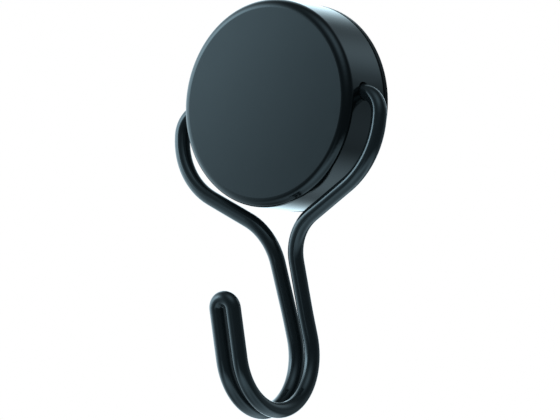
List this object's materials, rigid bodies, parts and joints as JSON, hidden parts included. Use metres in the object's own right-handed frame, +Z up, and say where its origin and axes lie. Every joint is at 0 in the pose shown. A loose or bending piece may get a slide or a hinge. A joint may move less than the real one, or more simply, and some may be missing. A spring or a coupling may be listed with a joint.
{
  "type": "magnetic swing hook",
  "caption": "Round pot magnet with a black drawn steel cap and a bent-wire hook that swings on two side pivots, for hanging things from a steel surface.",
  "frame": {"origin": "centre of the magnet's contact face, on the cap's axis", "axes": "+Y out of the contact face, towards the steel surface it sticks to; +Z up; +X to the right seen from the front of the cap"},
  "size_m": [0.0504, 0.0277, 0.0804],
  "materials": {
    "cap_paint": "satin",
    "rim_paint": "satin",
    "cured_adhesive": "matt",
    "ferrite": "matt",
    "spacer_plastic": "matt",
    "pole_steel": "plated",
    "spring_steel": "plain",
    "carrier_plastic": "matt",
    "bush_plastic": "matt",
    "wire_coating": "gloss"
  },
  "bodies": {
    "magnet": {"outer_cap": "cap_paint", "magnet_cup": "rim_paint", "magnet_bond": "cured_adhesive", "ring_magnet": "ferrite", "spacer_ring": "spacer_plastic", "centre_pole": "pole_steel", "retaining_washer": "spring_steel", "hook_carrier": "carrier_plastic", "pivot_bush_right": "bush_plastic", "pivot_bush_left": "bush_plastic"},
    "hook": {"wire_hook": "wire_coating"}
  },
  "joints": [
    {"name": "hook_swing", "type": "hinge", "parent": "magnet", "child": "hook", "pos_m": [0, -0.00765, 0.0008], "axis": [-1, 0, 0], "range_deg": [0, 162]}
  ]
}
